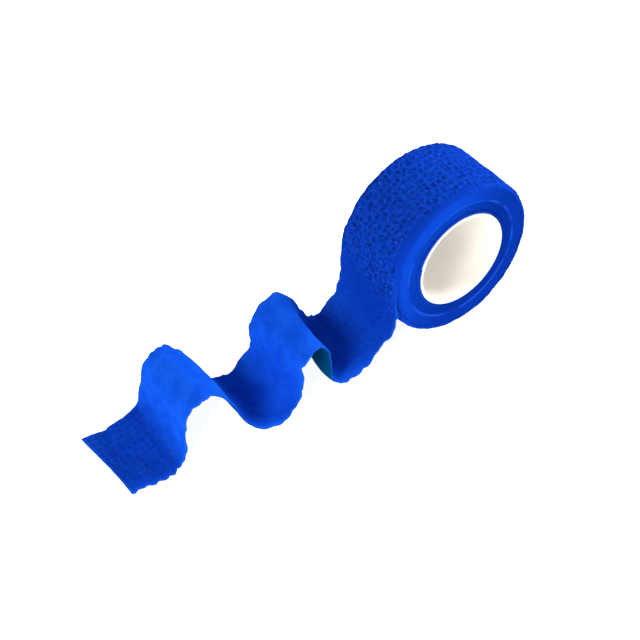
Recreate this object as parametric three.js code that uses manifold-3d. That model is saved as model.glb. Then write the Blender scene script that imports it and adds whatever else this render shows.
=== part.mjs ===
// A roll of blue crepe bandage wound on a white core tube, lying on its side, with a wavy loose end.
//
// Millimetres, +Z up. The roll's axis runs along Y. The loose end runs out along -X over the surface,
// in two standing folds. The origin is the middle of the small flat spot that the roll rests on.

import * as THREE from "three";
import { mergeVertices } from "three/addons/utils/BufferGeometryUtils.js";
import Module from "manifold-3d";

const wasm = await Module();
wasm.setup();

// Driving dimensions
const TAPE_WIDTH = 25; // the loose end, relaxed
const ROLL_WIDTH = 25; // the wound turns together, whose edges don't quite line up
const ROLL_SHIFT = 0.3; // how far they have crept along the core, away from the near side
const SHEET = 1; // thickness of the loose end
const GAP = 0.3; // between pieces that touch

const CORE_RADIUS = 15.8; // outside of the core tube
const CORE_WALL = 1;
const CORE_LENGTH = 25;
const CORE_EDGE = 0.3; // rounding of the tube's rims

const ROLL_RADIUS = 26.1; // where the loose end parts from the roll
const TURN_PITCH = 0.55; // what one turn of the tape adds to the radius
const RIM_DEPTH = 2; // the roll's soft rims: their reach along the axis
const RIM_INSET = 1.5; // and towards it
const FLAT_SAG = 0.3; // depth of the flat spot under the roll
const PART_DEGREES = 176; // the parting line, counted from +X over the top
const BOTTOM_TURN = (PART_DEGREES + 90) / 360; // share of the last turn from there to the flat spot
const SEAT_START = 0.92; // from here on the roll's skin sinks to make room for the loose end
const SEAT_FULL = 0.95;
const HUG_DEGREES = [0, 5, 10]; // places past the parting line where the loose end still lies on the roll

const BAND_RADIUS = 19.9; // the first turns on the core, whose edges lie a little deeper
const BAND_DEPTH = 0.5;

const AXIS_Z = ROLL_RADIUS - TURN_PITCH * BOTTOM_TURN - FLAT_SAG; // the roll's axis above the surface

// Fineness of the faceting
const ROLL_STEPS = 96;
const CORE_STEPS = 96;
const SHEET_STEPS = 132;
const SHEET_STRIPS = 6;
const RIM_SEGMENTS = 4;
const SAME_POINT = 1e-4; // vertices nearer than this are one

const crepe = { color: 0x0f3fc4, roughness: 0.85, metalness: 0 };
const plastic = { color: 0xf4f2ec, roughness: 0.35, metalness: 0 };

// The loose end's upper face, from the roll to the cut end. Each row is one place on the wave:
// x and z are the middle of the sheet, skewX and skewZ are what the near edge has over the far one,
// drift is how far the sheet has wandered along Y, and bow is how far its middle hangs back along X.
const WAVE = [
  { at: "hangs from the roll", x: -25.4, z: 19.0, skewX: -0.1, skewZ: -1.0, drift: 0 },
  { at: "starts to flare", x: -25.5, z: 13.6, skewX: -0.3, skewZ: -1.2, drift: 0 },
  { at: "flare", x: -28.4, z: 8.2, skewX: -1.2, skewZ: -0.4, drift: 0 },
  { at: "foot of the flare", x: -33.0, z: 4.5, skewX: -2.8, skewZ: -1.8, drift: -0.2 },
  { at: "first trough", x: -38.0, z: 1.8, skewX: -5.4, skewZ: -2.4, drift: -0.5, bow: -0.6 },
  { at: "foot of the first fold", x: -42.2, z: 2.8, skewX: -9.0, skewZ: -1.6, drift: -0.7, bow: -2.0 },
  { at: "its right leg", x: -44.9, z: 8.6, skewX: -7.8, skewZ: -3.2, drift: -0.8, bow: -1.0 },
  { at: "its right shoulder", x: -47.4, z: 16.8, skewX: -4.0, skewZ: -2.0, drift: -0.9 },
  { at: "first crest", x: -52.2, z: 22.1, skewX: -2.2, skewZ: -1.0, drift: -1.0 },
  { at: "its left shoulder", x: -58.6, z: 19.7, skewX: -1.6, skewZ: 0, drift: -1.4 },
  { at: "its left leg", x: -60.6, z: 13.2, skewX: 0.4, skewZ: 0, drift: -1.5 },
  { at: "its left foot", x: -61.7, z: 5.6, skewX: 0.2, skewZ: 0, drift: -1.6 },
  { at: "second trough", x: -67.4, z: 1.0, skewX: 0, skewZ: 0, drift: -1.9 },
  { at: "foot of the second fold", x: -76.3, z: 3.9, skewX: -1.4, skewZ: 0, drift: -1.5 },
  { at: "its right side", x: -81.8, z: 11.4, skewX: -2.0, skewZ: -0.2, drift: -1.3 },
  { at: "its right shoulder", x: -85.6, z: 20.2, skewX: -0.4, skewZ: -0.4, drift: -1.1 },
  { at: "second crest", x: -92.2, z: 25.4, skewX: -0.8, skewZ: 0.4, drift: -0.7 },
  { at: "its left shoulder", x: -98.0, z: 20.8, skewX: -1.9, skewZ: -0.2, drift: -0.2 },
  { at: "its left leg", x: -98.9, z: 13.2, skewX: -1.6, skewZ: -1.0, drift: -0.1 },
  { at: "its left foot", x: -100.4, z: 5.2, skewX: -1.8, skewZ: -2.4, drift: 0 },
  { at: "third trough", x: -105.0, z: 2.8, skewX: -1.0, skewZ: -3.6, drift: 0.2 },
  { at: "flap", x: -111.0, z: 2.5, skewX: 0, skewZ: -2.4, drift: 0.2 },
  { at: "cut end", x: -118.2, z: 2.6, skewX: 0.2, skewZ: -0.4, drift: 0.2 },
];

// A place on the tape is named by its side: -1 is the near edge, 0 the middle and +1 the far edge.
const SIDES = [-1, 0, 1];

const onRoll = (angle, side) =>
  new THREE.Vector3(
    ROLL_RADIUS * Math.cos(angle),
    (side * TAPE_WIDTH) / 2,
    AXIS_Z + ROLL_RADIUS * Math.sin(angle),
  );

const onWave = ({ x, z, skewX, skewZ, drift, bow = 0 }, side) =>
  new THREE.Vector3(
    x - (side * skewX) / 2 + (side === 0 ? bow : 0),
    drift + (side * TAPE_WIDTH) / 2,
    z - (side * skewZ) / 2,
  );

// A line along the loose end: it hugs the roll from the parting line, then follows the wave.
function lineAlong(side) {
  const clear = GAP / ROLL_RADIUS;
  const hug = HUG_DEGREES.map((degrees) =>
    onRoll(THREE.MathUtils.degToRad(PART_DEGREES + degrees) + clear, side),
  );
  const points = [...hug, ...WAVE.map((row) => onWave(row, side))];
  return new THREE.CatmullRomCurve3(points, false, "centripetal");
}

// The sheet's upper face as rows of points from the near edge to the far one. Each row is an arc
// through like places on the three lines. Troughs are pressed flat on the surface.
function sheetRows() {
  const lines = SIDES.map(lineAlong);
  return Array.from({ length: SHEET_STEPS + 1 }, (_, i) => {
    const [near, middle, far] = lines.map((line) => line.getPoint(i / SHEET_STEPS));
    const chordMiddle = near.clone().lerp(far, 0.5);
    const control = middle.clone().multiplyScalar(2).sub(chordMiddle);
    const row = new THREE.QuadraticBezierCurve3(near, control, far).getPoints(SHEET_STRIPS);
    row.forEach((point) => {
      point.z = Math.max(point.z, SHEET);
    });
    return row;
  });
}

// The sheet as a closed body: the upper face, the same grid one thickness below it, and a strip
// round the border.
function sheetGeometry() {
  const rows = sheetRows();
  const lastRow = rows.length - 1;
  const lastColumn = SHEET_STRIPS;
  const corner = (i, j) =>
    rows[THREE.MathUtils.clamp(i, 0, lastRow)][THREE.MathUtils.clamp(j, 0, lastColumn)];
  const upper = [];
  const lower = [];
  rows.forEach((row, i) =>
    row.forEach((point, j) => {
      const along = corner(i + 1, j).clone().sub(corner(i - 1, j));
      const across = corner(i, j + 1).clone().sub(corner(i, j - 1));
      const below = point.clone().addScaledVector(along.cross(across).normalize(), SHEET);
      below.z = Math.max(below.z, 0);
      upper.push(point);
      lower.push(below);
    }),
  );

  const top = (i, j) => i * (lastColumn + 1) + j;
  const bottom = (i, j) => upper.length + top(i, j);
  const index = [];
  const quad = (a, b, c, d) => index.push(a, b, c, a, c, d);
  for (let i = 0; i < lastRow; i += 1) {
    for (let j = 0; j < lastColumn; j += 1) {
      quad(top(i, j), top(i, j + 1), top(i + 1, j + 1), top(i + 1, j));
      quad(bottom(i, j), bottom(i + 1, j), bottom(i + 1, j + 1), bottom(i, j + 1));
    }
    quad(top(i, 0), top(i + 1, 0), bottom(i + 1, 0), bottom(i, 0));
    quad(top(i + 1, lastColumn), top(i, lastColumn), bottom(i, lastColumn), bottom(i + 1, lastColumn));
  }
  for (let j = 0; j < lastColumn; j += 1) {
    quad(top(0, j + 1), top(0, j), bottom(0, j), bottom(0, j + 1));
    quad(top(lastRow, j), top(lastRow, j + 1), bottom(lastRow, j + 1), bottom(lastRow, j));
  }
  const geometry = new THREE.BufferGeometry().setFromPoints([...upper, ...lower]);
  geometry.setIndex(index);
  geometry.computeVertexNormals();
  return geometry;
}

// The roll's outline round its axis: one turn of a spiral that starts at the parting line and sinks
// just before it comes round again, where the loose end lies on it. The flat spot is a level cut.
function rollOutline() {
  const points = [];
  for (let i = 0; i <= ROLL_STEPS; i += 1) {
    const turn = i / ROLL_STEPS;
    const seat = THREE.MathUtils.smoothstep(turn, SEAT_START, SEAT_FULL);
    const radius = ROLL_RADIUS - TURN_PITCH * turn - (SHEET + GAP - TURN_PITCH) * seat;
    const angle = THREE.MathUtils.degToRad(PART_DEGREES - 360 * turn);
    points.push(
      new THREE.Vector2(radius * Math.cos(angle), Math.max(radius * Math.sin(angle), -AXIS_Z)),
    );
  }
  return points;
}

function toSolid(geometry) {
  const bare = geometry.clone();
  bare.deleteAttribute("normal");
  bare.deleteAttribute("uv");
  const merged = mergeVertices(bare, SAME_POINT);
  return new wasm.Manifold(
    new wasm.Mesh({
      numProp: 3,
      vertProperties: merged.attributes.position.array,
      triVerts: new Uint32Array(merged.index.array),
    }),
  );
}

function toGeometry(solid) {
  const mesh = solid.getMesh();
  const geometry = new THREE.BufferGeometry();
  geometry.setAttribute("position", new THREE.BufferAttribute(mesh.vertProperties, 3));
  geometry.setIndex(new THREE.BufferAttribute(mesh.triVerts, 1));
  geometry.computeVertexNormals();
  return geometry;
}

// A round cutter about the Y axis, between two places along it.
function disc(radius, low, high) {
  const cutter = new THREE.CylinderGeometry(radius, radius, high - low, CORE_STEPS);
  return cutter.translate(0, (low + high) / 2, 0);
}

// The wound turns as one body: the outline drawn out to the roll's width with soft rims, bored for
// the core, with the first turns' band a little deeper on both sides.
function makeWoundRoll() {
  const body = new THREE.ExtrudeGeometry(new THREE.Shape(rollOutline()), {
    depth: ROLL_WIDTH - 2 * RIM_DEPTH,
    steps: 1,
    bevelEnabled: true,
    bevelThickness: RIM_DEPTH,
    bevelSize: RIM_INSET,
    bevelOffset: -RIM_INSET,
    bevelSegments: RIM_SEGMENTS,
  });
  body.translate(0, 0, RIM_DEPTH - ROLL_WIDTH / 2);
  body.rotateX(Math.PI / 2);
  const bore = disc(CORE_RADIUS + GAP, -ROLL_WIDTH, ROLL_WIDTH);
  const bandFace = ROLL_WIDTH / 2 - BAND_DEPTH;
  const nearBand = disc(BAND_RADIUS, -ROLL_WIDTH, -bandFace);
  const farBand = disc(BAND_RADIUS, bandFace, ROLL_WIDTH);
  const solid = [bore, nearBand, farBand].reduce(
    (left, cutter) => left.subtract(toSolid(cutter)),
    toSolid(body),
  );
  const mesh = new THREE.Mesh(toGeometry(solid), new THREE.MeshStandardMaterial(crepe));
  mesh.name = "wound_roll";
  mesh.position.set(0, ROLL_SHIFT, AXIS_Z);
  return mesh;
}

function makeCoreTube() {
  const inner = CORE_RADIUS - CORE_WALL;
  const half = CORE_LENGTH / 2;
  const profile = [
    [inner, -half + CORE_EDGE],
    [inner + CORE_EDGE, -half],
    [CORE_RADIUS - CORE_EDGE, -half],
    [CORE_RADIUS, -half + CORE_EDGE],
    [CORE_RADIUS, half - CORE_EDGE],
    [CORE_RADIUS - CORE_EDGE, half],
    [inner + CORE_EDGE, half],
    [inner, half - CORE_EDGE],
  ];
  const closed = [...profile, profile[0]].map(([radius, y]) => new THREE.Vector2(radius, y));
  const geometry = new THREE.LatheGeometry(closed, CORE_STEPS);
  const mesh = new THREE.Mesh(geometry, new THREE.MeshStandardMaterial(plastic));
  mesh.name = "core_tube";
  mesh.position.z = AXIS_Z;
  return mesh;
}

function makeLooseEnd() {
  const mesh = new THREE.Mesh(sheetGeometry(), new THREE.MeshStandardMaterial(crepe));
  mesh.name = "loose_end";
  return mesh;
}

const bandageRoll = new THREE.Group();
bandageRoll.add(makeCoreTube(), makeWoundRoll(), makeLooseEnd());

export default bandageRoll;
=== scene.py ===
import math

import bpy
import numpy as np
from bpy.props import FloatProperty, FloatVectorProperty, IntProperty, PointerProperty
from mathutils import Matrix, Vector


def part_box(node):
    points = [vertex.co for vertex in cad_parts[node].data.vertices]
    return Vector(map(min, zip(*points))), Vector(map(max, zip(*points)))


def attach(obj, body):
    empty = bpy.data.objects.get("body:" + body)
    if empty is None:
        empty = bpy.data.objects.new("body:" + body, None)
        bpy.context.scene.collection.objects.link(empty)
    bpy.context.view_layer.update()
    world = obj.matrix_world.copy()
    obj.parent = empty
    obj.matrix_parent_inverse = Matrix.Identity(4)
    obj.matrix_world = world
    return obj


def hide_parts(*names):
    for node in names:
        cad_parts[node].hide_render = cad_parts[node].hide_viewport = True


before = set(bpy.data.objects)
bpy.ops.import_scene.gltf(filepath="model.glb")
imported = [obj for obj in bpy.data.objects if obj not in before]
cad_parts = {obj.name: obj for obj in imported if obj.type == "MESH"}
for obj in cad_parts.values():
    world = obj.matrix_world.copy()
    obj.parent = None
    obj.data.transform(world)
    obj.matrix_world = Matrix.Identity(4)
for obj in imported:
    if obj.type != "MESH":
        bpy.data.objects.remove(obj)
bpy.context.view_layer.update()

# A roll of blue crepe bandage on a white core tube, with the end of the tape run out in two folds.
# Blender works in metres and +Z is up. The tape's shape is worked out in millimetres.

bl_info = {
    "name": "Crepe bandage roll",
    "version": (1, 0, 0),
    "blender": (4, 5, 0),
    "location": "3D View > Sidebar > Bandage",
    "description": "Makes the core tube, the wound turns, the crepe tape and the stage",
    "category": "Add Mesh",
}

MM = 0.001
SEED = 7

CORE_LOW, CORE_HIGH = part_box("core_tube")
ROLL_LOW, ROLL_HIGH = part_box("wound_roll")
AXIS_Z = (CORE_LOW.z + CORE_HIGH.z) / 2 / MM  # height of the roll's axis
ROLL_SHIFT = (ROLL_LOW.y + ROLL_HIGH.y) / 2 / MM  # the turns have crept along the core

# The wound turns. A turn is counted from the parting line, clockwise over the top.
ROLL_RADIUS = 26.1
TURN_PITCH = 0.55
PART_DEGREES = 176
TUCKED_TURN = 1.03  # where the outermost turn begins, under the loose end
TUCKED_SINK = 0.15  # how far it sinks in there
CORE_GAP = 0.3
FLAT_HALF = 10.5  # half the width that stays flat between the curled rims
RIM_REACH = 2.0  # the outermost turn curls over the rims, this far sideways
RIM_DROP = 1.5  # and this far inwards
RIM_ARC = 2.77  # length of tape in a curl
CURL_GAP = 0.1  # what is left free between a curled rim and the turns under it
CURL_FADE = 12.0  # past the parting line the rims straighten out over this length
FAR_SOONER = 9.0  # the far rim does so this much sooner
NEAR_PUCKER = 0.12  # depth of the puckers in the near rim
FAR_PUCKER = 0.38  # and in the far one
PUCKER_SPACING = 3.3
FLAT_PITCH = 0.97  # how close the turns lie over the flat spot, as a share of their pitch
FLAT_START = 0.74  # how deep in the roll the surface is met there, in turns
TURN_STEP = 0.05  # a turn's width changes to the next one's over this part of a turn
FACE_INSET = 0.1  # how far the turns' edges stay inside the tape's full width
EDGE_ROUNDING = 0.12  # of a turn's thickness

# The crepe's net of threads round pits.
PIT_SPACING = 2.0  # along the tape
ROW_SPACING = 2.1  # and across it
PIT_HALF = (0.40, 0.44)  # half a pit as a share of those
NET_CHANCE = 0.55  # how far the pits stray from even rows, from 0 to 1
ROW_WANDER = 1.0  # how far the rows wander in long waves
ROW_RAGGED = 0.75  # and in short ones
THREAD_WIDTH = 0.13  # as a share of the spacing
WRINKLE_SPACING = (0.75, 2.8)  # of the fine cross wrinkles, along the tape and across it

# The loose end.
LOOSE_FROM = 18.0  # past the parting line the tape is quite loose from here on
LINE_SOFTNESS = 0.9  # the wave's rows are blended over this length
SCALLOP_SPACING = 3.9
FAR_SCALLOP = 0.45  # the far edge's scallops as a share of the near edge's
FLUTTER = 0.35  # how far the edges flutter up and down
CUT_BOW = 0.4  # how far the middle of the cut end lies back
EDGE_HIGHLIGHT_WIDTH = 0.9  # the painted highlight along the edges
LOOSE_FLOOR = 0.78  # lowest height of the loose end's upper face
ROLL_FLOOR = 0.02  # and of the rest of the tape
UPPER_TUCK = 0.22  # how far the upper face's border is drawn down, as a share of the thickness

# Where the looks change along the tape, counted from the parting line.
NET_FADE = (2.0, 16.0)
# The roll's deeper blue reaches on over the flare, where it is painted shade.
DARK_FADE = (14.0, 32.0)
FIRST_TROUGH = (24.0, 9.0)  # middle and width
# The second trough, where painted shade lies on its near side.
SECOND_TROUGH = (105.0, 7.0)
# The same, counted from the cut end.
# A crease across the flat end, painted as a shadow: middle and width.
CREASE_SHADOW = (-16.5, 2.4)
# The flat end, where the net comes back and painted shade lies.
FLAT_END = (-24.0, -13.0)
# The smooth rims start this far from the middle. Over the top of the roll the near one is wider.
SMOOTH_NEAR = 11.0
SMOOTH_FAR = 11.6
WIDER_ON_TOP = 1.4

# The loose end's upper face, from the roll to the cut end. Each row is one place on the wave:
# x and z of its middle, how far the near edge lies from the far one in x and in z, how far the
# tape has wandered along Y, and how far its middle bows out along X and up.
WAVE = [
    (-25.4, 19.0, -0.1, -1.0, 0.0, 0.0, 0.0),  # hangs from the roll
    (-25.5, 13.6, -0.3, -1.2, 0.0, 0.0, 0.0),
    (-28.4, 8.2, -1.2, -0.4, 0.0, 0.0, 0.0),  # flare
    (-33.0, 4.5, -2.8, -1.8, -0.2, 0.0, 0.0),
    (-38.0, 1.9, -5.4, -1.8, -0.5, -0.4, -0.3),  # first trough
    (-42.2, 3.2, -9.0, -1.0, -0.7, -1.8, -1.2),
    (-44.9, 8.9, -7.4, -3.0, -0.8, -3.0, -1.0),
    (-47.4, 16.8, -3.6, -2.0, -0.9, -1.2, 0.0),
    (-52.2, 22.1, -2.2, -1.0, -1.0, 0.0, 0.0),  # first crest
    (-58.6, 19.7, -1.6, 0.0, -1.4, 0.0, 0.0),
    (-60.6, 13.2, 0.4, 0.0, -1.5, 0.0, 0.0),
    (-61.7, 5.6, 0.2, 0.0, -1.6, 0.0, 0.0),
    (-67.4, 1.0, 0.0, 0.0, -1.9, 0.0, 0.0),  # second trough
    (-76.3, 3.9, -1.4, 0.0, -1.5, 0.4, 0.0),
    (-81.1, 11.8, -0.6, 0.6, -1.3, 0.6, -0.4),
    (-85.6, 20.2, -0.4, -0.4, -1.1, 1.0, 0.0),
    (-92.2, 25.4, -0.8, 0.4, -0.7, 0.0, 0.0),  # second crest
    (-98.0, 20.8, -1.9, -0.2, -0.2, 0.0, 0.0),
    (-98.9, 13.2, -1.6, -1.0, -0.1, 0.0, 0.0),
    (-100.4, 5.2, -1.8, -2.4, 0.0, 0.0, 0.0),
    (-105.0, 2.8, -1.0, -3.6, 0.2, 0.0, 0.0),  # third trough
    (-111.0, 2.5, 0.0, -2.4, 0.2, 0.0, 0.0),
    (-118.2, 2.6, 0.2, -0.4, 0.2, 0.0, 0.0),  # cut end
]

# The tape was stretched unevenly when it was pulled off. Each entry is a place past the parting
# line, and how far the near and the far edge lie out there from the even width.
EDGES = [
    (-14.0, 0.2, 0.4), (-6.0, 0.0, 0.8), (2.0, 0.0, 0.0), (7.0, 0.3, 1.0),
    (9.5, 1.1, 1.5), (12.5, 0.1, 1.4), (16.5, 1.0, 1.1), (19.0, -0.6, 0.9),
    (23.0, -0.2, 1.4), (27.0, 0.0, 1.1), (30.5, -0.6, 1.8), (34.5, -0.5, 2.2),
    (38.0, -0.8, 1.4), (42.0, -0.8, 0.4), (46.0, 0.0, -0.2), (50.0, 0.0, 0.1),
    (54.0, 0.0, 0.8), (59.0, 0.0, 1.0), (62.0, 0.0, 0.7), (66.0, 0.7, 1.2),
    (69.0, 0.1, 1.0), (71.8, -1.4, 1.2), (73.8, 0.5, 1.2), (77.0, 0.2, -0.5),
    (80.0, -0.2, 0.0), (83.5, -0.3, 1.4), (86.5, 0.1, 1.7), (90.5, 0.0, 0.7),
    (97.0, -0.3, -0.5), (100.5, -0.8, -1.4), (103.2, -2.2, -1.2), (106.0, -0.9, -0.6),
    (109.0, -1.6, 0.0), (113.5, -2.2, 0.4), (117.0, -1.4, 1.2), (120.0, -1.7, 2.0),
    (123.0, -1.2, 1.2), (126.0, -0.3, -0.2), (129.0, 0.3, -0.2), (134.0, -0.5, 0.1),
    (138.5, 0.0, 0.1), (142.0, -1.4, 0.5), (146.5, 0.0, 1.6), (150.0, -0.2, 0.5),
    (156.5, -0.2, -0.5), (162.5, -0.7, -0.5), (166.3, -1.0, 0.3), (169.0, 0.0, 0.9),
]


def length_setting(name, description, default):
    """A length in metres."""
    return FloatProperty(name=name, description=description, default=default, unit="LENGTH")


def strength_setting(name, description, default, unit="NONE"):
    """A power or a strength, which is never below 0."""
    return FloatProperty(name=name, description=description, default=default, min=0, unit=unit)


def colour_setting(name, description, default):
    return FloatVectorProperty(
        name=name, description=description, subtype="COLOR", default=default, min=0, max=1
    )


class TapeSettings(bpy.types.PropertyGroup):
    """Sizes and colours of the crepe tape."""

    width: length_setting("Tape width", "Width of the relaxed tape", 0.025)
    wound_thickness: length_setting("Wound thickness", "Thickness of a turn on the roll", 0.00053)
    loose_thickness: length_setting("Loose thickness", "Thickness of the loose end", 0.00065)
    cell: length_setting("Mesh cell", "Size of one face of the tape's mesh", 0.00035)
    pit_depth: length_setting("Pit depth", "Depth of the pits between the threads", 0.00022)
    thread_height: length_setting("Thread height", "Height of the threads round the pits", 0.0001)
    wrinkle_height: length_setting("Wrinkle height", "Height of the fine cross wrinkles", 0.00016)
    lump_height: length_setting("Lump height", "Height of the broad uneven places", 0.0003)
    scallop: length_setting("Edge scallops", "Depth of the scallops along the edges", 0.0008)
    body_colour: colour_setting(
        "Crepe colour", "The cloth between pits and threads", (0.0035, 0.063, 0.560)
    )
    # Also used for painted shade on the flare, the flat end, a crease and a trough.
    wound_and_shade_colour: colour_setting(
        "Wound colour", "The stretched cloth on the roll", (0.0025, 0.034, 0.375)
    )
    # Also used for the painted highlight along the tape's edges and the cut end.
    brushed_and_highlight_colour: colour_setting(
        "Brushed colour", "Places where the fibres stand up", (0.0065, 0.093, 0.680)
    )
    # Random dark flecks, and painted shade in the pits, the wrinkles' furrows and the end faces.
    fleck_and_shade_colour: colour_setting(
        "Pit colour", "The deep places between the threads", (0.0005, 0.014, 0.135)
    )
    # Random light fibres, and a painted highlight on the threads and on the end faces' ring line.
    fibre_and_highlight_colour: colour_setting(
        "Thread colour", "The stretched threads", (0.018, 0.100, 0.720)
    )
    lint_colour: colour_setting("Lint colour", "Loose fibres on the face", (0.10, 0.30, 0.85))
    # Painted shade on the tape's underside.
    underside_shade_colour: colour_setting(
        "Underside colour", "The side of the tape that lies inwards", (0.000, 0.045, 0.130)
    )


class TurnSettings(bpy.types.PropertyGroup):
    """Sizes of the wound turns under the outermost one."""

    pitch: length_setting("Turn pitch", "What one turn adds to the radius", TURN_PITCH * MM)
    steps: IntProperty(
        name="Steps", description="Straight steps in one turn", default=200, min=48, max=360
    )
    stagger: length_setting("Stagger", "How far the turns' edges wander sideways", 0.00005)
    band_radius: length_setting(
        "Band radius", "Radius of the inner turns, whose edges lie deeper", 0.0199
    )
    band_depth: length_setting("Band depth", "How much deeper they lie", 0.0003)
    lip: length_setting("Lip", "How far the innermost turn stands out of that band", 0.0006)


class CoreSettings(bpy.types.PropertyGroup):
    """Sizes and colours of the core tube."""

    radius: length_setting(
        "Core radius", "Outside radius of the tube", (CORE_HIGH.x - CORE_LOW.x) / 2
    )
    length: length_setting("Core length", "Length of the tube", CORE_HIGH.y - CORE_LOW.y)
    wall: length_setting("Wall", "Thickness of the tube's wall", 0.001)
    rounding: length_setting("Rim rounding", "Radius of the rims' edges", 0.0003)
    rim_colour: colour_setting("Rim colour", "The tube's white rims", (0.50, 0.54, 0.56))
    bore_colour: colour_setting("Bore colour", "The tube's cream inside", (0.56, 0.53, 0.485))
    bore_light: colour_setting("Bore light colour", "Its lighter places", (0.86, 0.83, 0.77))
    # Emission standing in for light through the wall: painted light.
    painted_glow: strength_setting("Glow", "Light that comes through the thin white wall", 0.20)


class StageSettings(bpy.types.PropertyGroup):
    """Floor, lights and camera."""

    floor_colour: colour_setting("Floor colour", "The pale floor", (0.92, 0.92, 0.92))
    floor_glow: strength_setting(
        "Floor glow", "How much the floor shines, as a light table does", 0.86
    )
    key_power: strength_setting(
        "Key light", "Power of the soft light from the left", 1.4, "POWER"
    )
    back_power: strength_setting(
        "Back light", "Power of the light from behind the roll", 13.0, "POWER"
    )
    front_power: strength_setting(
        "Front light", "Power of the low light on the roll's end", 0.8, "POWER"
    )
    sky: strength_setting("Room light", "Strength of the light from all round", 0.25)
    lens: length_setting("Lens", "Focal length of the camera", 0.105)


def smooth(value, low, high):
    """0 below low, 1 above high and a soft step between them."""
    t = np.clip((value - low) / (high - low), 0, 1)
    return t * t * (3 - 2 * t)


def hump(value, middle, width):
    """A soft hump, 1 high in its middle."""
    return np.exp(-(((value - middle) / width) ** 2))


def opaque(colour):
    return (*colour, 1.0)


class Wire:
    """A node's output in Python arithmetic: each operation on it adds its Math node."""

    def __init__(self, bench, socket):
        self.bench = bench
        self.socket = socket

    def beside(self, output):
        """Another output of the same node."""
        return Wire(self.bench, self.socket.node.outputs[output])

    def __add__(self, other):
        return self.bench.maths("ADD", self, other)

    def __radd__(self, other):
        return self.bench.maths("ADD", other, self)

    def __sub__(self, other):
        return self.bench.maths("SUBTRACT", self, other)

    def __rsub__(self, other):
        return self.bench.maths("SUBTRACT", other, self)

    def __mul__(self, other):
        return self.bench.maths("MULTIPLY", self, other)

    def __rmul__(self, other):
        return self.bench.maths("MULTIPLY", other, self)

    def __truediv__(self, other):
        return self.bench.maths("DIVIDE", self, other)


class Bench:
    """Adds nodes to one tree, of a material or of Geometry Nodes."""

    def __init__(self, tree):
        self.tree = tree

    def node(self, kind, settings=None, inputs=None, output=0):
        """Adds a node: its settings first, then its sockets' values or links."""
        made = self.tree.nodes.new(kind)
        for name, value in (settings or {}).items():
            setattr(made, name, value)
        for key, value in (inputs or {}).items():
            if isinstance(value, Wire):
                self.tree.links.new(value.socket, made.inputs[key])
            else:
                made.inputs[key].default_value = value
        return Wire(self, made.outputs[output])

    def maths(self, operation, *values):
        return self.node("ShaderNodeMath", {"operation": operation}, dict(enumerate(values)))

    def vector(self, operation, *values):
        sockets = dict(enumerate(values))
        return self.node("ShaderNodeVectorMath", {"operation": operation}, sockets)

    def step(self, value, low, high):
        """A soft step from 0 at low to 1 at high."""
        return self.node(
            "ShaderNodeMapRange",
            {"interpolation_type": "SMOOTHSTEP"},
            {"Value": value, "From Min": low, "From Max": high},
        )

    def noise(self, place, scale, detail=2.0, output=0):
        return self.node(
            "ShaderNodeTexNoise",
            {"noise_dimensions": "3D"},
            {"Vector": place, "Scale": scale, "Detail": detail},
            output,
        )

    def coats(self, colour, *coats):
        """A colour with others over it. Each coat is how much it covers, and its colour."""
        for share, coat in coats:
            sockets = {0: share, 6: colour, 7: opaque(coat)}
            colour = self.node("ShaderNodeMix", {"data_type": "RGBA"}, sockets, 2)
        return colour


def stray(bench, place, scale, detail, reach):
    """A chance offset along and across, at most this far either way."""
    chance = bench.noise(place, scale, detail, 1)
    return bench.vector("MULTIPLY_ADD", chance, (2 * reach, 2 * reach, 0), (-reach, -reach, 0))


def crepe_weave(bench, place):
    """The crepe's pattern at a place on the tape, in millimetres along and across it.

    Returns threads (1 on a thread), pits (1 in a deep pit, less in a shallow one) and wrinkles
    (0 to 1).
    """
    wander = stray(bench, place, 0.25, 1.0, ROW_WANDER)
    ragged = stray(bench, place, 0.95, 3.0, ROW_RAGGED)
    moved = bench.vector("ADD", place, bench.vector("ADD", wander, ragged))
    cells = bench.vector("MULTIPLY", moved, (1 / PIT_SPACING, 1 / ROW_SPACING, 0))
    net = {"Vector": cells, "Scale": 1.0, "Randomness": NET_CHANCE}
    flat_net = {"voronoi_dimensions": "2D"}
    to_edge = bench.node("ShaderNodeTexVoronoi", {**flat_net, "feature": "DISTANCE_TO_EDGE"}, net)
    chance = bench.node("ShaderNodeTexVoronoi", {**flat_net, "feature": "F1"}, net, "Color")
    luck = bench.node("ShaderNodeSeparateXYZ", None, {0: chance})
    off = bench.vector("SUBTRACT", cells, chance.beside("Position"))
    off = bench.vector("MULTIPLY", off, (1 / PIT_HALF[0], 1 / PIT_HALF[1], 0))
    far = bench.node("ShaderNodeVectorMath", {"operation": "LENGTH"}, {0: off}, "Value")
    patchy = bench.step(bench.noise(place, 0.12, 1.0), 0.36, 0.58)
    deep = (0.45 + 0.55 * luck) * (0.50 + 0.50 * patchy)
    pits = (1 - bench.step(far, 0.20, 1.15)) * deep
    broken = bench.step(bench.noise(place, 0.9, 2.0), 0.44, 0.58)
    threads = (1 - bench.step(to_edge, 0.0, THREAD_WIDTH)) * broken
    fine = bench.vector("MULTIPLY", moved, (1 / WRINKLE_SPACING[0], 1 / WRINKLE_SPACING[1], 1))
    return threads, pits, bench.noise(fine, 1.0, 1.0)


SOCKETS = {
    int: "NodeSocketInt",
    float: "NodeSocketFloat",
    bpy.types.Material: "NodeSocketMaterial",
}


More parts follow.
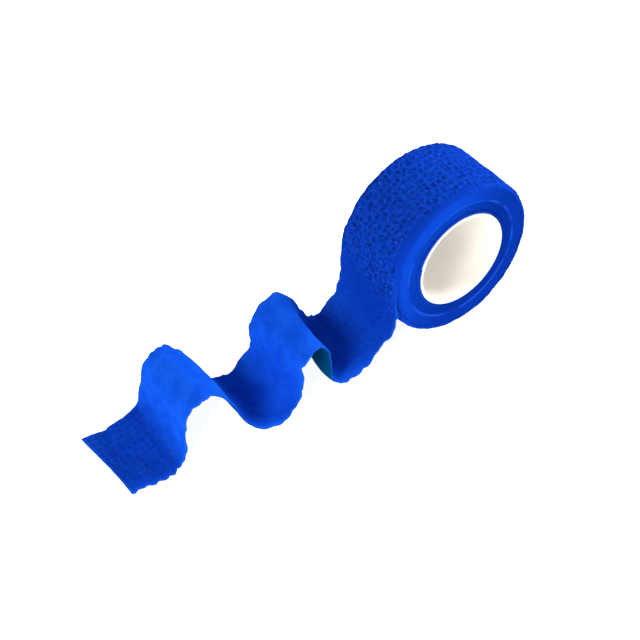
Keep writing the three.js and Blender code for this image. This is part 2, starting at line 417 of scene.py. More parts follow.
def new_tree(name, values):
    """A Geometry Nodes tree with an input for each named value. Returns its bench, the input
    wires and the inputs' identifiers."""
    tree = bpy.data.node_groups.new(name, "GeometryNodeTree")
    tree.interface.new_socket("Geometry", in_out="INPUT", socket_type="NodeSocketGeometry")
    identifiers = {}
    for label, value in values.items():
        kind = next(socket for base, socket in SOCKETS.items() if isinstance(value, base))
        made = tree.interface.new_socket(label, in_out="INPUT", socket_type=kind)
        identifiers[label] = made.identifier
    tree.interface.new_socket("Geometry", in_out="OUTPUT", socket_type="NodeSocketGeometry")
    bench = Bench(tree)
    entry = tree.nodes.new("NodeGroupInput")
    wires = {label: Wire(bench, entry.outputs[label]) for label in ["Geometry", *values]}
    return bench, wires, identifiers


def end_tree(bench, geometry, material):
    """Closes a tree: what it made is made real and takes its material."""
    real = bench.node("GeometryNodeRealizeInstances", None, {0: geometry})
    coat = {"Geometry": real, "Material": material}
    coated = bench.node("GeometryNodeSetMaterial", None, coat)
    leave = bench.tree.nodes.new("NodeGroupOutput")
    bench.tree.links.new(coated.socket, leave.inputs[0])


def grown(name, mesh, tree_name, build, values):
    """Builds a tree with these values, runs it on a mesh and returns the result as a plain mesh
    object."""
    bench, wires, identifiers = new_tree(tree_name, values)
    build(bench, wires)
    obj = bpy.data.objects.new(name, mesh)
    bpy.context.scene.collection.objects.link(obj)
    modifier = obj.modifiers.new("shape", "NODES")
    modifier.node_group = bench.tree
    for label, value in values.items():
        modifier[identifiers[label]] = value
    bpy.context.view_layer.update()
    depsgraph = bpy.context.evaluated_depsgraph_get()
    result = bpy.data.meshes.new_from_object(
        obj.evaluated_get(depsgraph), preserve_all_data_layers=True, depsgraph=depsgraph
    )
    obj.modifiers.clear()
    obj.data = result
    result.name = name
    return obj


def attribute(bench, name, output=0):
    return bench.node("ShaderNodeAttribute", {"attribute_name": name}, None, output)


def named(bench, name, kind="FLOAT"):
    return bench.node("GeometryNodeInputNamedAttribute", {"data_type": kind}, {"Name": name})


def new_material(name):
    material = bpy.data.materials.new(name)
    material.use_nodes = True
    return material, Bench(material.node_tree)


def main_shader(bench):
    return next(n for n in bench.tree.nodes if n.type == "BSDF_PRINCIPLED")


def finished(bench, inputs, bump, distance):
    """Sets the main shader's sockets and puts the bump on it."""
    shader = main_shader(bench)
    relief = bench.node("ShaderNodeBump", None, {"Height": bump, "Distance": distance})
    for key, value in {**inputs, "Normal": relief}.items():
        if isinstance(value, Wire):
            bench.tree.links.new(value.socket, shader.inputs[key])
        else:
            shader.inputs[key].default_value = value


CLOTH = {
    "Specular IOR Level": 0.0,
    "Sheen Roughness": 0.4,
    "Sheen Tint": (0.02, 0.3, 1.0, 1.0),
}


def crepe_material(tape):
    """The cloth of the outermost turn and the loose end."""
    material, bench = new_material("blue_crepe")
    place = attribute(bench, "tape", 1)
    marks = ("crepe", "wound", "ridged", "edge", "under")
    crepe, wound, ridged, edge, under = (attribute(bench, mark, 2) for mark in marks)
    threads, pits, wrinkles = crepe_weave(bench, place)
    cloud = bench.noise(place, 0.16, 3.0)
    grain = bench.noise(place, 1.1, 3.0)
    fuzz = bench.noise(bench.vector("MULTIPLY", place, (1.6, 5.0, 1.0)), 1.0, 2.0)
    brushed_and_lit_side = bench.step(cloud * 0.7 + grain * 0.3, 0.34, 0.68)
    flecks = bench.step(grain, 0.50, 0.74) * (0.12 + wound * 0.18)
    furrows = (1 - bench.step(wrinkles, 0.38, 0.50)) * ridged
    fibres = bench.step(fuzz, 0.54, 0.72) * crepe
    dusted = bench.step(bench.noise(place, 0.10, 1.0), 0.50, 0.62)
    lint = bench.step(bench.noise(place, 1.5, 1.0), 0.68, 0.74) * dusted
    colour = bench.coats(
        opaque(tape.body_colour),
        (brushed_and_lit_side, tape.brushed_and_highlight_colour),
        # The roll's stretched cloth, and painted shade on the flare, the flat end, a crease and a
        # trough.
        (wound * 0.9, tape.wound_and_shade_colour),
        (flecks, tape.fleck_and_shade_colour),
        # Painted shade in the wrinkles' furrows and in the pits.
        (furrows * 0.8, tape.fleck_and_shade_colour),
        (pits * crepe * 0.85, tape.fleck_and_shade_colour),
        # A painted highlight on the threads.
        (threads * crepe * 0.5, tape.fibre_and_highlight_colour),
        (fibres * 0.35, tape.fibre_and_highlight_colour),
        # A painted highlight along the edges and the cut end.
        (edge * 0.45, tape.brushed_and_highlight_colour),
        (lint * 0.22, tape.lint_colour),
        # Painted shade on the underside.
        (under, tape.underside_shade_colour),
    )
    height = fuzz * 0.35 + grain * 0.35 + threads * crepe * 0.5 - pits * crepe * 0.6
    height = height + wrinkles * ridged * 0.8
    looks = {"Base Color": colour, "Roughness": 0.72 + grain * 0.2, "Sheen Weight": 0.04}
    finished(bench, {**CLOTH, **looks}, height, 0.00022)
    return material


def turns_material(tape, turns):
    """The cut edges of the wound turns, side by side on the roll's end faces."""
    material, bench = new_material("blue_turn_edges")
    turn = attribute(bench, "turn", 2)
    spot = bench.node("ShaderNodeTexCoord", None, None, 3)
    right = bench.node("ShaderNodeSeparateXYZ", None, {0: spot})
    high = right.beside(2) - AXIS_Z * MM
    radius = bench.maths("SQRT", right * right + high * high)
    trail = bench.node("ShaderNodeCombineXYZ", None, {0: turn * 0.8, 1: radius * 40})
    rings = bench.noise(trail, 1.0, 1.0)
    grain = bench.noise(spot, 900.0, 3.0)
    cloud = bench.noise(spot, 130.0, 2.0)
    # A broken painted highlight runs round where the deeper band begins.
    band = turns.band_radius
    line = bench.step(radius, band - 0.0004, band + 0.0001)
    line = line * (1 - bench.step(radius, band + 0.0002, band + 0.0008))
    line = line * bench.step(cloud, 0.40, 0.58)
    # Painted shade in the deeper band next to the core.
    inner = 1 - bench.step(radius, band - 0.0004, band)
    # Painted light and shade: the end faces are lighter towards -X and the top, darker towards +X
    # and the bottom.
    brushed_and_lit_side = 1 - bench.step(right - high * 0.7, -0.018, 0.008)
    colour = bench.coats(
        opaque(tape.wound_and_shade_colour),
        (brushed_and_lit_side * (0.1 + rings * 0.5 + cloud * 0.5), tape.body_colour),
        # Darker overall with random grain, and painted shade away from the lit side.
        (0.35 - brushed_and_lit_side * 0.25 + bench.step(grain, 0.5, 0.75) * 0.15, tape.fleck_and_shade_colour),
        (inner * 0.25, tape.fleck_and_shade_colour),
        # The ring's painted highlight.
        (line * 0.45, tape.fibre_and_highlight_colour),
    )
    looks = {"Base Color": colour, "Roughness": 0.7 + cloud * 0.2, "Sheen Weight": 0.03}
    finished(bench, {**CLOTH, **looks}, grain * 0.6 + cloud * 0.4, 0.00012)
    return material


def core_material(core):
    """The tube's white rims and cream inside."""
    material, bench = new_material("white_core")
    spot = bench.node("ShaderNodeTexCoord", None, None, 3)
    deep = bench.node("ShaderNodeSeparateXYZ", None, {0: spot}).beside(1)
    end = core.length / 2
    rim = bench.step(bench.maths("ABSOLUTE", deep), end - 0.0005, end - 0.0002)
    cloud = bench.noise(spot, 60.0, 3.0)
    grain = bench.noise(bench.vector("MULTIPLY", spot, (700, 120, 700)), 1.0, 2.0)
    looks = {
        "Base Color": bench.coats(
            opaque(core.bore_colour), (cloud * 0.5, core.bore_light), (rim, core.rim_colour)
        ),
        "Roughness": 0.42 - rim * 0.15 + grain * 0.08,
        "Specular IOR Level": 0.4,
        # The emission is painted light: the tube glows though it is no lamp.
        "Emission Color": (1.0, 0.96, 0.9, 1.0),
        "Emission Strength": core.painted_glow,
    }
    finished(bench, looks, grain, 0.00002)
    return material


def smooth_shaded(mesh):
    mesh.polygons.foreach_set("use_smooth", np.ones(len(mesh.polygons), bool))


def outward(obj):
    """Turns a closed mesh's faces outwards."""
    mesh = obj.data
    co = np.empty(len(mesh.vertices) * 3)
    mesh.vertices.foreach_get("co", co)
    co = co.reshape(-1, 3)
    mesh.calc_loop_triangles()
    tri = np.empty(len(mesh.loop_triangles) * 3, int)
    mesh.loop_triangles.foreach_get("vertices", tri)
    a, b, c = (co[tri.reshape(-1, 3)[:, k]] for k in range(3))
    if (a * np.cross(b, c)).sum() < 0:
        mesh.flip_normals()


def seated(obj, slot, *nodes):
    """Fits a finished piece to the frame."""
    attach(obj, "root")
    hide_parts(*nodes)


def core_tube(core):
    """The tube as a turned ring with rounded rims."""
    outer = core.radius
    inner = outer - core.wall
    half = core.length / 2
    r = core.rounding
    corners = [
        (outer - r, half - r, 90, 0),
        (outer - r, r - half, 0, -90),
        (inner + r, r - half, -90, -180),
        (inner + r, half - r, 180, 90),
    ]
    points_each = 6
    profile = []
    for radius, y, start, stop in corners:
        for degrees in np.linspace(start, stop, points_each):
            turn = math.radians(degrees)
            profile.append((radius + r * math.cos(turn), y + r * math.sin(turn)))
    steps = 192
    angles = np.linspace(0, 2 * math.pi, steps, endpoint=False)
    axis = AXIS_Z * MM
    points = [(p * math.cos(a), y, axis + p * math.sin(a)) for a in angles for p, y in profile]
    count = len(profile)
    faces = []
    for i in range(steps):
        this, following = i * count, (i + 1) % steps * count
        for j in range(count):
            k = (j + 1) % count
            faces.append((this + j, following + j, following + k, this + k))
    mesh = bpy.data.meshes.new("core_tube_turned")
    mesh.from_pydata(points, [], faces)
    mesh.materials.append(core_material(core))
    smooth_shaded(mesh)
    mesh.update()
    obj = bpy.data.objects.new("core_tube_turned", mesh)
    bpy.context.scene.collection.objects.link(obj)
    outward(obj)
    seated(obj, "core_white", "core_tube")


def turns_tree(bench, wires):
    """The tape wound round the core: a straight strip of it, swept and then rolled up."""
    index = bench.node("GeometryNodeInputIndex")
    count = wires["Turns"] * wires["Steps"] + 1
    line = bench.node("GeometryNodeMeshLine", None, {"Count": count})
    line = bench.node("GeometryNodeMeshToCurve", None, {0: line})
    turned = index / wires["Steps"] + wires["First Turn"]
    line = bench.node(
        "GeometryNodeStoreNamedAttribute",
        {"data_type": "FLOAT", "domain": "POINT"},
        {"Geometry": line, "Name": "turn", "Value": turned},
    )
    section = bench.node(
        "GeometryNodeCurvePrimitiveQuadrilateral",
        {"mode": "RECTANGLE"},
        {"Width": wires["Tape Width"], "Height": wires["Thickness"]},
    )
    rounded = {"Curve": section, "Count": 2, "Radius": wires["Edge Rounding"]}
    section = bench.node("GeometryNodeFilletCurve", {"mode": "POLY"}, rounded)
    place = bench.node("GeometryNodeInputPosition")
    section = bench.node(
        "GeometryNodeStoreNamedAttribute",
        {"data_type": "FLOAT_VECTOR", "domain": "POINT"},
        {"Geometry": section, "Name": "section", "Value": place},
    )
    sweep = {"Curve": line, "Profile Curve": section, "Fill Caps": True}
    strip = bench.node("GeometryNodeCurveToMesh", None, sweep)
    turn = named(bench, "turn")
    cut = named(bench, "section", "FLOAT_VECTOR")
    sideways = bench.node("ShaderNodeSeparateXYZ", None, {0: cut})
    middle = wires["Outer Radius"] - wires["Pitch"] * turn - wires["Thickness"] * 0.5
    radius = middle + sideways.beside(1)
    angle = wires["Parting Angle"] - turn * (2 * math.pi)
    # Under the outermost turn's curled rims there is room for less width.
    first, second, full = (wires[label] for label in ("First Half", "Second Half", "Full Half"))
    half = first + (second - first) * bench.step(turn, 2, 2 + TURN_STEP)
    half = half + (full - second) * bench.step(turn, 3, 3 + TURN_STEP)
    band = wires["Band Radius"]
    half = half - wires["Band Depth"] * (1 - bench.step(radius, band - 0.0005, band + 0.0001))
    # The innermost turn has crept a little over the core's rims.
    turns = wires["Turns"]
    half = half + wires["Lip"] * bench.step(turn, turns - 0.5, turns - 0.1)
    trail = {0: turn * 3.1, 1: turn * 0.9, 2: wires["Seed"]}
    trail = bench.node("ShaderNodeCombineXYZ", None, trail)
    wander = (bench.noise(trail, 1.0, 1.0) - 0.5) * 2 * wires["Stagger"]
    across = sideways * half / (wires["Tape Width"] * 0.5) + wander + wires["Side Shift"]
    out = radius * bench.maths("COSINE", angle)
    up = radius * bench.maths("SINE", angle)
    # The turns lie on one another over the flat spot.
    flat = (wires["Outer Radius"] - wires["Pitch"] * FLAT_START - radius) * FLAT_PITCH
    up = bench.maths("MAXIMUM", up, flat - wires["Axis Height"]) + wires["Axis Height"]
    wound = bench.node("ShaderNodeCombineXYZ", None, {0: out, 1: across, 2: up})
    strip = bench.node("GeometryNodeSetPosition", None, {"Geometry": strip, "Position": wound})
    end_tree(bench, strip, wires["Material"])


def under_curl(depth, thick):
    """Half the width there is for a turn whose outer face lies this deep under the outermost
    turn's."""
    high = min(max((RIM_DROP - depth) / (RIM_DROP - thick), 0), 1)
    return FLAT_HALF + (RIM_REACH - thick - CURL_GAP) * math.sqrt(1 - high * high)


def wound_turns(turns, tape):
    """The turns between the core and the outermost turn, as one long wound strip."""
    core_side = (CORE_HIGH.x - CORE_LOW.x) / 2 / MM + CORE_GAP
    pitch = turns.pitch / MM
    thick = tape.wound_thickness / MM
    count = int((ROLL_RADIUS - core_side) / pitch - TUCKED_TURN)
    values = {
        "Turns": count,
        "Steps": turns.steps,
        "First Turn": TUCKED_TURN,
        "Outer Radius": ROLL_RADIUS * MM,
        "Pitch": turns.pitch,
        "Parting Angle": math.radians(PART_DEGREES),
        "Tape Width": tape.width,
        "Thickness": tape.wound_thickness,
        "Edge Rounding": tape.wound_thickness * EDGE_ROUNDING,
        "First Half": under_curl(pitch, thick) * MM,
        "Second Half": under_curl(2 * pitch, thick) * MM,
        "Full Half": (FLAT_HALF + RIM_REACH) * MM - FACE_INSET * MM,
        "Band Radius": turns.band_radius,
        "Band Depth": turns.band_depth,
        "Lip": turns.lip,
        "Stagger": turns.stagger,
        "Side Shift": ROLL_SHIFT * MM,
        "Axis Height": AXIS_Z * MM,
        "Seed": float(SEED),
        "Material": turns_material(tape, turns),
    }
    mesh = bpy.data.meshes.new("strip")
    obj = grown("wound_turns", mesh, "wound_turns", turns_tree, values)
    smooth_shaded(obj.data)
    outward(obj)
    seated(obj, "crepe_blue", "wound_roll")


def through(points, count):
    """Places on a smooth curve through the given points, count of them to each stretch."""
    padded = np.vstack([2 * points[0] - points[1], points, 2 * points[-1] - points[-2]])
    t = np.linspace(0, len(points) - 1, count * (len(points) - 1) + 1)
    k = np.minimum(t.astype(int), len(points) - 2)
    w = (t - k)[:, None]
    p0, p1, p2, p3 = (padded[k + n] for n in range(4))
    d0, d1, d2 = (
        np.sqrt(np.linalg.norm(b - a, axis=1))[:, None] for a, b in ((p0, p1), (p1, p2), (p2, p3))
    )
    m1 = ((p1 - p0) / d0 - (p2 - p0) / (d0 + d1) + (p2 - p1) / d1) * d1
    m2 = ((p2 - p1) / d1 - (p3 - p1) / (d1 + d2) + (p3 - p2) / d2) * d1
    return p1 + m1 * w + (3 * (p2 - p1) - 2 * m1 - m2) * w**2 + (2 * (p1 - p2) + m1 + m2) * w**3


def on_roll(turn, side, half):
    """A line across the outermost turn's outer face, at turns counted from the parting line."""
    sink = TUCKED_SINK * smooth(turn, 0.90, 0.98)
    radius = ROLL_RADIUS - TURN_PITCH * np.maximum(turn, 0) - sink
    angle = np.radians(PART_DEGREES) - 2 * math.pi * turn
    y = ROLL_SHIFT * smooth(turn, 0.0, 0.08) + side * half
    return np.column_stack([radius * np.cos(angle), y, AXIS_Z + radius * np.sin(angle)])


def tape_lines(half):
    """The near edge, the middle and the far edge of the tape, from its tucked start to its cut
    end."""
    wound = np.linspace(TUCKED_TURN, 0, 720)
    hug = -np.array([0.7, 5.7, 10.7]) / 360  # it still hugs the roll just past the parting line
    lines = []
    for side in (-1, 0, 1):
        wave = [
            (
                x - side * skew_x / 2 + (bow if side == 0 else 0),
                drift + side * half,
                z - side * skew_z / 2 + (rise if side == 0 else 0),
            )
            for x, z, skew_x, skew_z, drift, bow, rise in WAVE
        ]
        loose = through(np.vstack([on_roll(hug, side, half), wave]), 40)
        lines.append(np.vstack([on_roll(wound, side, half), loose]))
    return lines


def evenly(lines, cell):
    """The lines again with even steps along the tape, and how far along each step is."""
    middle = lines[1]
    stretches = np.linalg.norm(np.diff(middle, axis=0), axis=1)
    along = np.concatenate([[0], np.cumsum(stretches)])
    count = int(along[-1] / cell / 2) * 2
    places = np.linspace(0, along[-1], count + 1)
    return [
        np.column_stack([np.interp(places, along, line[:, k]) for k in range(3)]) for line in lines
    ], places


def softened(values, reach):
    """Values with a soft average over reach steps each way along the first axis."""
    steps = np.arange(-3 * reach, 3 * reach + 1)
    weights = np.exp(-0.5 * (steps / reach) ** 2)
    weights /= weights.sum()
    ahead = 2 * values[0] - values[3 * reach:0:-1]
    behind = 2 * values[-1] - values[-2:-3 * reach - 2:-1]
    padded = np.vstack([ahead, values, behind])
    return np.column_stack([np.convolve(column, weights, "valid") for column in padded.T])


def wandering(places, spacing, rng):
    """A smooth chance line from -1 to 1, with a new value about every spacing."""
    count = int(places[-1] / spacing) + 4
    knots = (np.arange(count) - 1 + rng.uniform(-0.3, 0.3, count)) * spacing
    values = rng.uniform(-1, 1, count)
    k = np.clip(np.searchsorted(knots, places, side="right") - 1, 0, count - 2)
    t = smooth((places - knots[k]) / (knots[k + 1] - knots[k]), 0, 1)
    return values[k] * (1 - t) + values[k + 1] * t


def normals_of(grid):
    """Outward normals of the grid of points."""
    along = np.gradient(grid, axis=0)
    across = np.gradient(grid, axis=1)
    out = np.cross(across, along)
    return out / np.maximum(np.linalg.norm(out, axis=2, keepdims=True), 1e-12)


def by_side(v, near, far):
    """A grid with the near line's values on the near half and the far line's on the far half."""
    return np.where(v < 0, near[:, None], far[:, None])


def curled(v, half, curl):
    """How far each place lies from the middle of the tape, and how far the curl of the rims
    drops it."""
    a = np.abs(v) * (half + (FLAT_HALF + RIM_ARC - half) * curl)
    bend = np.clip((a - FLAT_HALF) / RIM_ARC * math.pi / 2, 0, math.pi / 2)
    rolled = np.where(a < FLAT_HALF, a, FLAT_HALF + RIM_REACH * np.sin(bend))
    return a * (1 - curl) + rolled * curl, RIM_DROP * (1 - np.cos(bend)) * curl


def edge_lines(tape, places, past, loose, rng):
    """How far the near and the far edge lie out from the even width, with their scallops."""
    stretch = np.array(EDGES)
    lines = []
    for column, share in ((1, 1.0), (2, FAR_SCALLOP)):
        phase = places / SCALLOP_SPACING + 0.45 * wandering(places, 6.0, rng)
        bumps = np.abs(np.sin(math.pi * phase)) - 0.6
        strength = 0.55 + 0.45 * wandering(places, 9.0, rng)
        scallops = bumps * strength + 0.35 * wandering(places, 1.6, rng)
        scallops = share * (tape.scallop / MM) * scallops * (0.15 + 0.85 * loose)
        lines.append(scallops + np.interp(past, stretch[:, 0], stretch[:, column]))
    return lines


def tape_marks(places, past, v, y, half, curl, rng):
    """How much of each look the cloth has, mostly from 0 to 1 at each place: the crepe's net, the
    roll's deeper blue and painted shade, the cross wrinkles and a painted highlight on the edges."""
    side = (v + 1) / 2
    here = past[:, None]
    to_cut = here - past[-1]
    angle = PART_DEGREES + np.degrees(here / ROLL_RADIUS)
    on_top = smooth(angle, 75, 105) - smooth(angle, 150, 172)
    smooth_from = np.where(v < 0, SMOOTH_NEAR - WIDER_ON_TOP * on_top, SMOOTH_FAR)
    smooth_from = smooth_from + 0.8 * wandering(places, 7.0, rng)[:, None]
    rim = smooth(np.abs(y), smooth_from, smooth_from + 1.6) * curl
    # The net fades past the parting line. It comes back in the flat end and the first trough.
    fade = 1 - smooth(here + 8 * side, *NET_FADE)
    flap = smooth(to_cut, *FLAT_END)
    crepe = np.maximum(fade * (1 - 0.9 * rim), 0.42 * flap + 0.25 * hump(here, *FIRST_TROUGH))
    # Deeper blue: the roll's stretched cloth, and painted shade on the flare, the flat end, the
    # crease before it and the second trough's near side.
    dark = 1 - smooth(here + 4 * side, *DARK_FADE)
    crease_shadow = hump(to_cut, *CREASE_SHADOW) * (0.6 + 0.4 * wandering(places, 4.0, rng)[:, None])
    trough_shade = hump(here, *SECOND_TROUGH) * (1 - smooth(side, 0.12, 0.38))
    wound = np.maximum(dark * (1 + 0.12 * rim), 0.70 * flap) + 0.5 * crease_shadow + trough_shade
    # The cross wrinkles lie round the parting line, aslant.
    ridged = (0.12 + 0.88 * hump(here + 14 * side, 2, 12)) * (1 - 0.9 * rim)
    # A painted highlight along the edges and the cut end, kept off the painted trough shade.
    edge = smooth(np.abs(v), 1 - EDGE_HIGHLIGHT_WIDTH / half, 1) * smooth(here, -6.0, 2.0)
    edge = np.maximum(edge, smooth(to_cut, -EDGE_HIGHLIGHT_WIDTH, 0)) * (1 - trough_shade)
    return {"crepe": crepe, "wound": wound, "ridged": ridged, "edge": edge}


def tape_grid(tape):
    """The tape's outer face as a grid of points, with its thickness, its flat places, its looseness
    and its marks."""
    cell = tape.cell / MM
    half = tape.width / MM / 2
    lines, places = evenly(tape_lines(half), cell)
    near, middle, far = (softened(line, int(LINE_SOFTNESS / cell)) for line in lines)
    turn_length = 2 * math.pi * (ROLL_RADIUS - TURN_PITCH / 2) * TUCKED_TURN
    past = places - turn_length  # length past the parting line
    loose = smooth(past, 0.0, LOOSE_FROM)
    rng = np.random.default_rng(SEED)

    v = np.linspace(-1, 1, int(2 * half / cell / 2) * 2 + 1)  # from the near edge to the far one
    curl = 1 - smooth(past[:, None] + np.where(v > 0, FAR_SOONER, 0.0), -1.0, CURL_FADE)
    y, drop = curled(v, half, curl)
    spread = by_side(v, *edge_lines(tape, places, past, loose, rng)) * np.abs(v) ** 5
    u = (np.sign(v) * (y + spread) / half + 1) / 2
    control = 2 * middle - (near + far) / 2
    grid = (
        ((1 - u) ** 2)[..., None] * near[:, None]
        + (2 * u * (1 - u))[..., None] * control[:, None]
        + (u**2)[..., None] * far[:, None]
    )
    out = normals_of(grid)
    grid = grid - drop[..., None] * out

    # The wound turn's rims are puckered between its threads, the far one more.
    beat = places / PUCKER_SPACING + 0.4 * wandering(places, 8.0, rng)
    pucker = 1 - np.abs(np.sin(math.pi * beat)) ** 0.8
    pucker = pucker * (0.7 + 0.3 * wandering(places, 5.0, rng))
    pucker = pucker[:, None] * np.where(v < 0, NEAR_PUCKER, FAR_PUCKER)
    pucker = pucker * smooth(np.abs(y), 7.5, 10.5) * curl
    grid = grid - pucker[..., None] * out

    # The loose end's edges flutter a little.
    flutter = [wandering(places, spacing, rng) * FLUTTER for spacing in (3.1, 3.4)]
    flutter = by_side(v, *flutter) * np.abs(v) ** 6
    grid = grid + (flutter * loose[:, None])[..., None] * out

    # The cut end is a little wavy.
    cut = smooth(places, places[-1] - 1.5, places[-1])[:, None]
    across = (v + 1) * half
    ragged = 0.30 * wandering(across, 5.5, rng) + 0.08 * wandering(across, 1.5, rng)
    ragged = ragged - CUT_BOW * (1 - v**2)
    along = np.gradient(grid, axis=0)
    along /= np.linalg.norm(along, axis=2, keepdims=True)
    grid = grid + (cut * ragged)[..., None] * along

    lowest = np.where(past > 0, LOOSE_FLOOR, ROLL_FLOOR)[:, None]
    grid[..., 2] = np.maximum(grid[..., 2], lowest)
    thin = tape.wound_thickness / MM
    thick = thin + (tape.loose_thickness - tape.wound_thickness) / MM * loose
    place = np.stack(np.broadcast_arrays(places[:, None], v * half, 0.0), axis=2)
    marks = tape_marks(places, past, v, y, half, curl, rng)
    return grid, thick, place, loose, marks


def quads(*corners):
    """Faces from four grids of vertex numbers."""
    return np.stack(corners, axis=-1).reshape(-1, 4).tolist()


def tape_mesh(tape):
    """The tape as a closed mesh: its outer face, a coarser inner face one thickness below it, and
    a border between them. Also returns its length."""
    grid, thick, place, loose, marks = tape_grid(tape)
    rows, columns = grid.shape[:2]
    out = normals_of(grid)
    tuck = UPPER_TUCK * thick[:, None] * np.ones((1, columns))
    tuck[1:-1, 1:-1] = 0
    upper = grid - tuck[..., None] * out
    lower = grid - (thick[:, None] - tuck)[..., None] * out
    lower[..., 2] = np.maximum(lower[..., 2], ROLL_FLOOR)
    lower = lower[::2, ::2]
    low_rows, low_columns = lower.shape[:2]

    top = np.arange(rows * columns).reshape(rows, columns)
    bottom = rows * columns + np.arange(low_rows * low_columns).reshape(low_rows, low_columns)
    faces = quads(top[:-1, :-1], top[:-1, 1:], top[1:, 1:], top[1:, :-1])
    faces += quads(bottom[:-1, :-1], bottom[1:, :-1], bottom[1:, 1:], bottom[:-1, 1:])
    borders = [
        (top[:, 0], bottom[:, 0]),
        (top[::-1, -1], bottom[::-1, -1]),
        (top[0, ::-1], bottom[0, ::-1]),
        (top[-1, :], bottom[-1, :]),
    ]
    for fine, coarse in borders:
        for k in range(len(coarse) - 1):
            a, b, c = (int(fine[2 * k + n]) for n in range(3))
            faces.append((a, b, c, int(coarse[k + 1]), int(coarse[k])))

    points = np.vstack([upper.reshape(-1, 3), lower.reshape(-1, 3)]) * MM
    mesh = bpy.data.meshes.new("tape")
    mesh.from_pydata(points.tolist(), [], faces)
    smooth_shaded(mesh)

    def write(name, kind, key, values, low_values):
        """Writes an attribute, for the outer face's vertices and then for the inner face's."""
        flat = np.concatenate([values.ravel(), low_values.ravel()]).astype(np.float32)
        mesh.attributes.new(name, kind, "POINT").data.foreach_set(key, flat)

    for name, values in marks.items():
        write(name, "FLOAT", "value", values, values[::2, ::2])
    ones, low_ones = np.ones((rows, columns)), np.ones((low_rows, low_columns))
    # The inner face is marked for painted shade.
    write("under", "FLOAT", "value", 0 * ones, low_ones)
    write("lift", "FLOAT", "value", ones, loose[::2, None] * low_ones)
    for name, values in {"tape": place, "outwards": out}.items():
        write(name, "FLOAT_VECTOR", "vector", values, values[::2, ::2])
    mesh.update()
    return mesh, place[-1, 0, 0]


def relief_tree(bench, wires):
    """Raises the crepe's threads and wrinkles and sinks its pits, on the tape's own face."""
    place = named(bench, "tape", "FLOAT_VECTOR")
    threads, pits, wrinkles = crepe_weave(bench, place)
    lumps = bench.noise(place, 0.19, 1.0)
    height = (threads * wires["Thread Height"] - pits * wires["Pit Depth"]) * named(bench, "crepe")
    height = height + (wrinkles - 0.5) * 2 * wires["Wrinkle Height"] * named(bench, "ridged")
    height = height + (lumps - 0.5) * 2 * wires["Lump Height"]
    outwards = named(bench, "outwards", "FLOAT_VECTOR")
    offset = bench.node(
        "ShaderNodeVectorMath",
        {"operation": "SCALE"},
        {0: outwards, "Scale": height * named(bench, "lift")},
    )
    raised = {"Geometry": wires["Geometry"], "Offset": offset}
    relief = bench.node("GeometryNodeSetPosition", None, raised)
    end_tree(bench, relief, wires["Material"])


def crepe_tape(tape):
    """The outermost turn and the loose end, as one length of crepe tape."""
    mesh, length = tape_mesh(tape)
    values = {
        "Thread Height": tape.thread_height,
        "Pit Depth": tape.pit_depth,
        "Wrinkle Height": tape.wrinkle_height,
        "Lump Height": tape.lump_height,
        "Material": crepe_material(tape),
    }
    obj = grown("crepe_tape", mesh, "crepe_relief", relief_tree, values)
    outward(obj)
    seated(obj, "crepe_blue", "loose_end")
    length * MM


FLOOR_HALF = 3.0
FLOOR_LEVEL = -0.0001
AIM = Vector((-0.085, 0.0, 0.020))
# Each light shines at AIM: its direction and height in degrees, distance, size and power setting.
LIGHTS = {
    "key_light": (208, 36, 0.40, 0.15, "key_power"),
    "back_light": (-8, 35, 1.00, 0.45, "back_power"),
    "front_light": (255, 16, 0.90, 0.50, "front_power"),
}
CAMERA_PLACE = Vector((-0.28281, -0.31374, 0.39533))
CAMERA_RIGHT = Vector((0.79489, -0.60676, 0.0))
CAMERA_FORWARD = Vector((0.43766, 0.57336, -0.69261))
SENSOR_WIDTH = 36  # in millimetres


def area_light(name, turn, height, distance, size, power):
    turn, height = math.radians(turn), math.radians(height)
    level = math.cos(height)
    way = Vector((level * math.cos(turn), level * math.sin(turn), math.sin(height)))
    place = AIM + way * distance
    data = bpy.data.lights.new(name, "AREA")
    data.shape = "DISK"
    data.size = size
    data.energy = power
    obj = bpy.data.objects.new(name, data)
    obj.location = place
    obj.rotation_euler = (AIM - place).to_track_quat("-Z", "Y").to_euler()
    bpy.context.scene.collection.objects.link(obj)


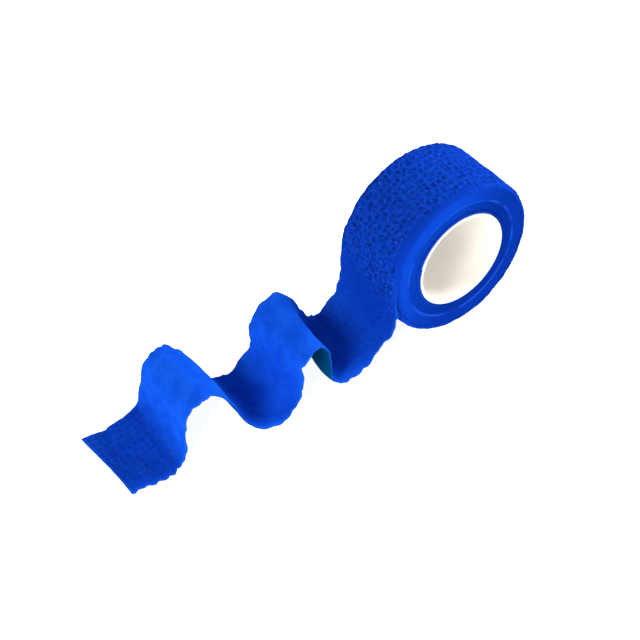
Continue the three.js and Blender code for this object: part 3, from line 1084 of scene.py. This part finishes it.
def stage(settings):
    """Pale floor, soft studio light, and the camera."""
    floor_mesh = bpy.data.meshes.new("floor")
    corners = [(-1, -1), (1, -1), (1, 1), (-1, 1)]
    points = [(x * FLOOR_HALF, y * FLOOR_HALF, FLOOR_LEVEL) for x, y in corners]
    floor_mesh.from_pydata(points, [], [(0, 1, 2, 3)])
    floor = bpy.data.objects.new("floor", floor_mesh)
    bpy.context.scene.collection.objects.link(floor)
    material, bench = new_material("pale_floor")
    shader = main_shader(bench)
    shader.inputs["Base Color"].default_value = opaque(settings.floor_colour)
    shader.inputs["Roughness"].default_value = 0.9
    shader.inputs["Specular IOR Level"].default_value = 0.1
    shader.inputs["Emission Color"].default_value = (1, 1, 1, 1)
    shader.inputs["Emission Strength"].default_value = settings.floor_glow
    floor_mesh.materials.append(material)

    for name, (*where, power) in LIGHTS.items():
        area_light(name, *where, getattr(settings, power))

    scene = bpy.context.scene
    world = bpy.data.worlds.new("room")
    world.use_nodes = True
    back = next(n for n in world.node_tree.nodes if n.type == "BACKGROUND")
    back.inputs["Color"].default_value = (1, 1, 1, 1)
    back.inputs["Strength"].default_value = settings.sky
    scene.world = world
    scene.view_settings.view_transform = "Standard"

    right, forward = CAMERA_RIGHT.normalized(), CAMERA_FORWARD.normalized()
    turned = Matrix((right, right.cross(forward), -forward)).transposed().to_4x4()
    data = bpy.data.cameras.new("camera")
    data.lens = settings.lens / MM
    data.sensor_width = SENSOR_WIDTH
    camera = bpy.data.objects.new("camera", data)
    camera.matrix_world = Matrix.Translation(CAMERA_PLACE) @ turned
    scene.collection.objects.link(camera)
    scene.camera = camera


class BANDAGE_OT_stage(bpy.types.Operator):
    """Makes the floor, the lights and the camera"""

    bl_idname = "bandage.stage"
    bl_label = "Stage"

    def execute(self, context):
        stage(context.scene.bandage_stage)
        return {"FINISHED"}


class BANDAGE_OT_core_tube(bpy.types.Operator):
    """Makes the white core tube"""

    bl_idname = "bandage.core_tube"
    bl_label = "Core tube"

    def execute(self, context):
        core_tube(context.scene.bandage_core)
        return {"FINISHED"}


class BANDAGE_OT_wound_turns(bpy.types.Operator):
    """Winds the turns between the core and the outermost turn"""

    bl_idname = "bandage.wound_turns"
    bl_label = "Wound turns"

    def execute(self, context):
        wound_turns(context.scene.bandage_turns, context.scene.bandage_tape)
        return {"FINISHED"}


class BANDAGE_OT_crepe_tape(bpy.types.Operator):
    """Makes the outermost turn and the loose end of the tape"""

    bl_idname = "bandage.crepe_tape"
    bl_label = "Crepe tape"

    def execute(self, context):
        crepe_tape(context.scene.bandage_tape)
        return {"FINISHED"}


OPERATORS = [
    BANDAGE_OT_stage,
    BANDAGE_OT_core_tube,
    BANDAGE_OT_wound_turns,
    BANDAGE_OT_crepe_tape,
]
SETTINGS = {
    "bandage_tape": TapeSettings,
    "bandage_turns": TurnSettings,
    "bandage_core": CoreSettings,
    "bandage_stage": StageSettings,
}


class BANDAGE_PT_panel(bpy.types.Panel):
    """Lists the pieces and their settings"""

    bl_idname = "BANDAGE_PT_panel"
    bl_label = "Bandage roll"
    bl_space_type = "VIEW_3D"
    bl_region_type = "UI"
    bl_category = "Bandage"

    def draw(self, context):
        layout = self.layout
        for operator in OPERATORS:
            layout.operator(operator.bl_idname)
        for name in SETTINGS:
            box = layout.box()
            group = getattr(context.scene, name)
            for prop in group.bl_rna.properties:
                if not prop.is_readonly and prop.identifier != "name":
                    box.prop(group, prop.identifier)


CLASSES = [*SETTINGS.values(), *OPERATORS, BANDAGE_PT_panel]


def register():
    for cls in CLASSES:
        bpy.utils.register_class(cls)
    for name, cls in SETTINGS.items():
        setattr(bpy.types.Scene, name, PointerProperty(type=cls))


def unregister():
    for name in SETTINGS:
        delattr(bpy.types.Scene, name)
    for cls in reversed(CLASSES):
        bpy.utils.unregister_class(cls)


def main():
    register()
    bpy.ops.bandage.stage()
    bpy.ops.bandage.core_tube()
    bpy.ops.bandage.wound_turns()
    bpy.ops.bandage.crepe_tape()


if __name__ == "__main__":
    main()
